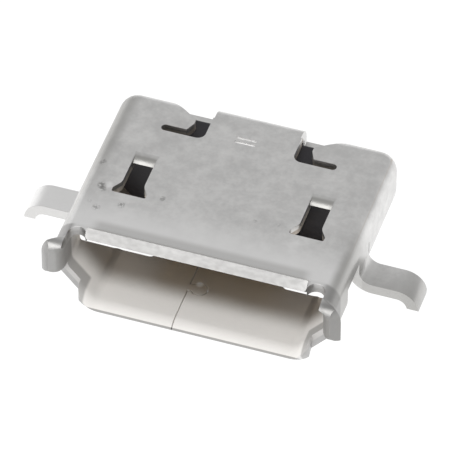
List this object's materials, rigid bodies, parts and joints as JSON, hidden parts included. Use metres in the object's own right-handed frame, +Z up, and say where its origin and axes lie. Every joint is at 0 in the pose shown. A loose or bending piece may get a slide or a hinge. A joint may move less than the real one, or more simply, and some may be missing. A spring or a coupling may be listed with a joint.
{
  "type": "micro usb board socket",
  "caption": "Board socket for a micro USB plug: a folded metal shell with a flared mouth and side solder horns round a moulded insulator and its contacts.",
  "frame": {"origin": "under the middle of the part's box, at its lowest point, the tip of the flared floor", "axes": "+X across the socket along its longest side, +Y from the mouth towards the solder tails, +Z up from the board side to the roof with the latch windows"},
  "size_m": [0.0106, 0.0068, 0.0027],
  "materials": {
    "plated_shell": "dull nickel plate over stamped sheet, slightly mottled",
    "moulded_insulator": "matt black heat-resistant moulding",
    "plated_contact": "thin gold plate on stamped copper alloy"
  },
  "bodies": {
    "root": {"shell": "plated_shell", "insulator": "moulded_insulator", "contact_1": "plated_contact", "contact_2": "plated_contact", "contact_3": "plated_contact", "contact_4": "plated_contact", "contact_5": "plated_contact"}
  },
  "joints": []
}
